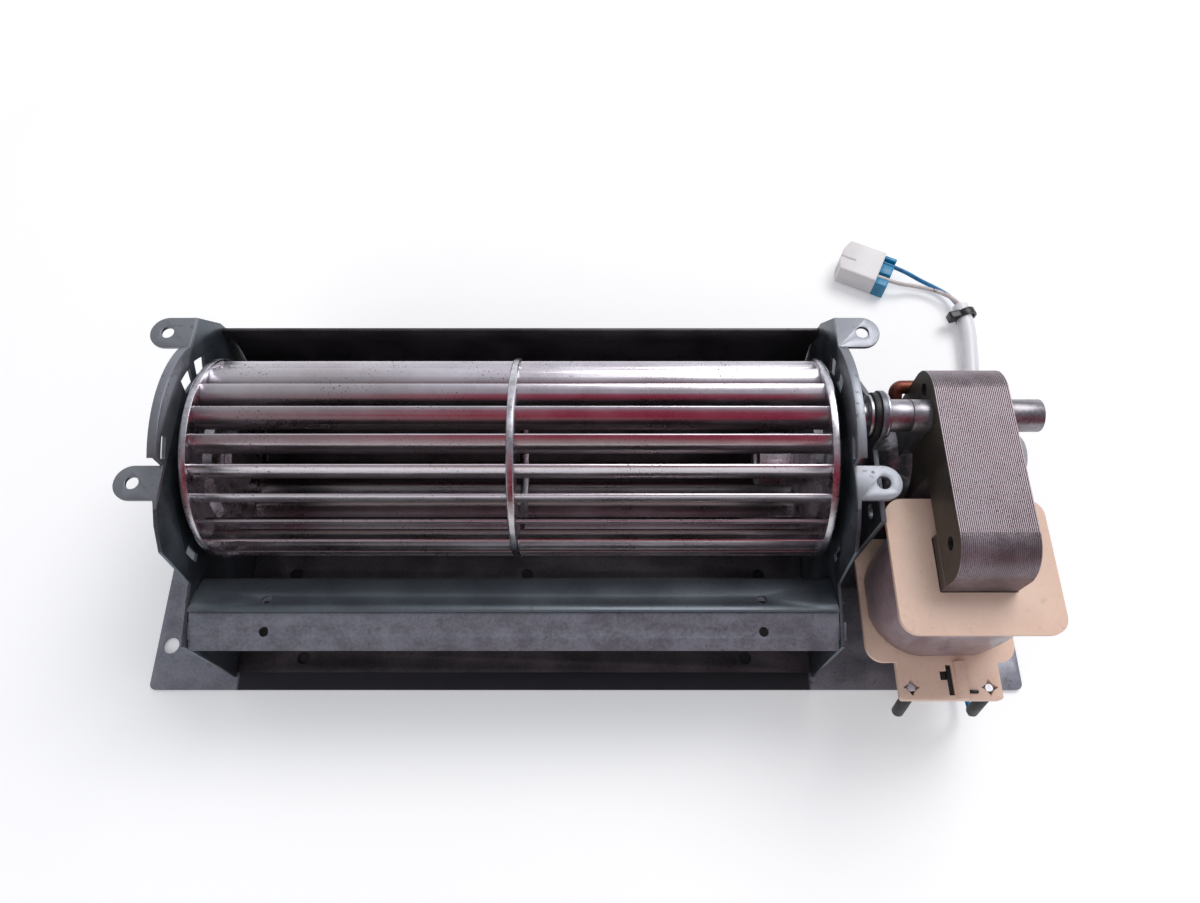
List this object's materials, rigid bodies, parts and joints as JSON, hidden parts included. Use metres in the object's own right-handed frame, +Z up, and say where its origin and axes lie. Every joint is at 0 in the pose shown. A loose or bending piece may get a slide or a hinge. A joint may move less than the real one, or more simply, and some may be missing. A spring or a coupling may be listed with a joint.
{
  "type": "cross flow fan",
  "caption": "Cross flow cooling fan: a forward-curved drum in a folded sheet-metal scroll on a base plate, driven by a shaded-pole motor.",
  "frame": {"origin": "on the underside of the base plate, under the middle of the drum", "axes": "+X along the drum axis towards the motor, -Y out of the air outlet, +Z up through the inlet"},
  "size_m": [0.2886, 0.1828, 0.082],
  "materials": {
    "galvanised": "dull galvanised steel sheet",
    "drum": "bright rolled aluminium with dust",
    "steel": "plain turned steel",
    "lamination": "stacked electrical steel",
    "die_cast": "die-cast alloy",
    "bronze": "oiled sintered bronze",
    "copper": "bare copper",
    "bobbin_plastic": "moulded glass-filled nylon",
    "winding_tape": "wound polyester tape",
    "black_rubber": "soft black rubber",
    "black_plastic": "black nylon",
    "white_sleeve": "flexible white sleeve",
    "white_wire": "white wire cover",
    "blue_wire": "blue wire cover",
    "white_plastic": "moulded white nylon",
    "blue_plastic": "moulded blue nylon"
  },
  "bodies": {
    "housing": {"base_plate": "galvanised", "blue_lead": "blue_wire", "blue_wire": "blue_wire", "bobbin": "bobbin_plastic", "cable_sleeve": "white_sleeve", "cable_tie": "black_plastic", "coil_winding": "winding_tape", "connector_housing": "white_plastic", "connector_insert": "blue_plastic", "core_limb": "lamination", "duct_roof": "galvanised", "end_bearing_bush": "bronze", "end_bearing_rubber": "black_rubber", "end_plate_left": "galvanised", "end_plate_right": "galvanised", "foot_rivets": "steel", "grommet_washers": "steel", "inner_bearing_bracket": "die_cast", "inner_bush": "bronze", "motor_bracket": "galvanised", "motor_grommets": "black_rubber", "motor_screws": "steel", "outer_bearing_bracket": "die_cast", "outer_bush": "bronze", "scroll_casing": "galvanised", "shading_rings": "copper", "spacer_sleeves": "steel", "stator_core": "lamination", "terminal_boots": "black_rubber", "terminal_pins": "steel", "tongue_plate": "galvanised", "white_lead": "white_wire", "white_wire": "white_wire"},
    "impeller": {"drum_blades": "drum", "drum_disc_left": "drum", "drum_disc_right": "drum", "drum_middle_ring": "drum", "drive_hub": "steel", "hub_set_screw": "steel", "stub_shaft": "steel", "motor_shaft": "steel", "rotor": "lamination"}
  },
  "joints": [
    {"name": "impeller_spin", "type": "hinge", "parent": "housing", "child": "impeller", "pos_m": [0, 0, 0.046], "axis": [1, 0, 0], "continuous": true}
  ]
}
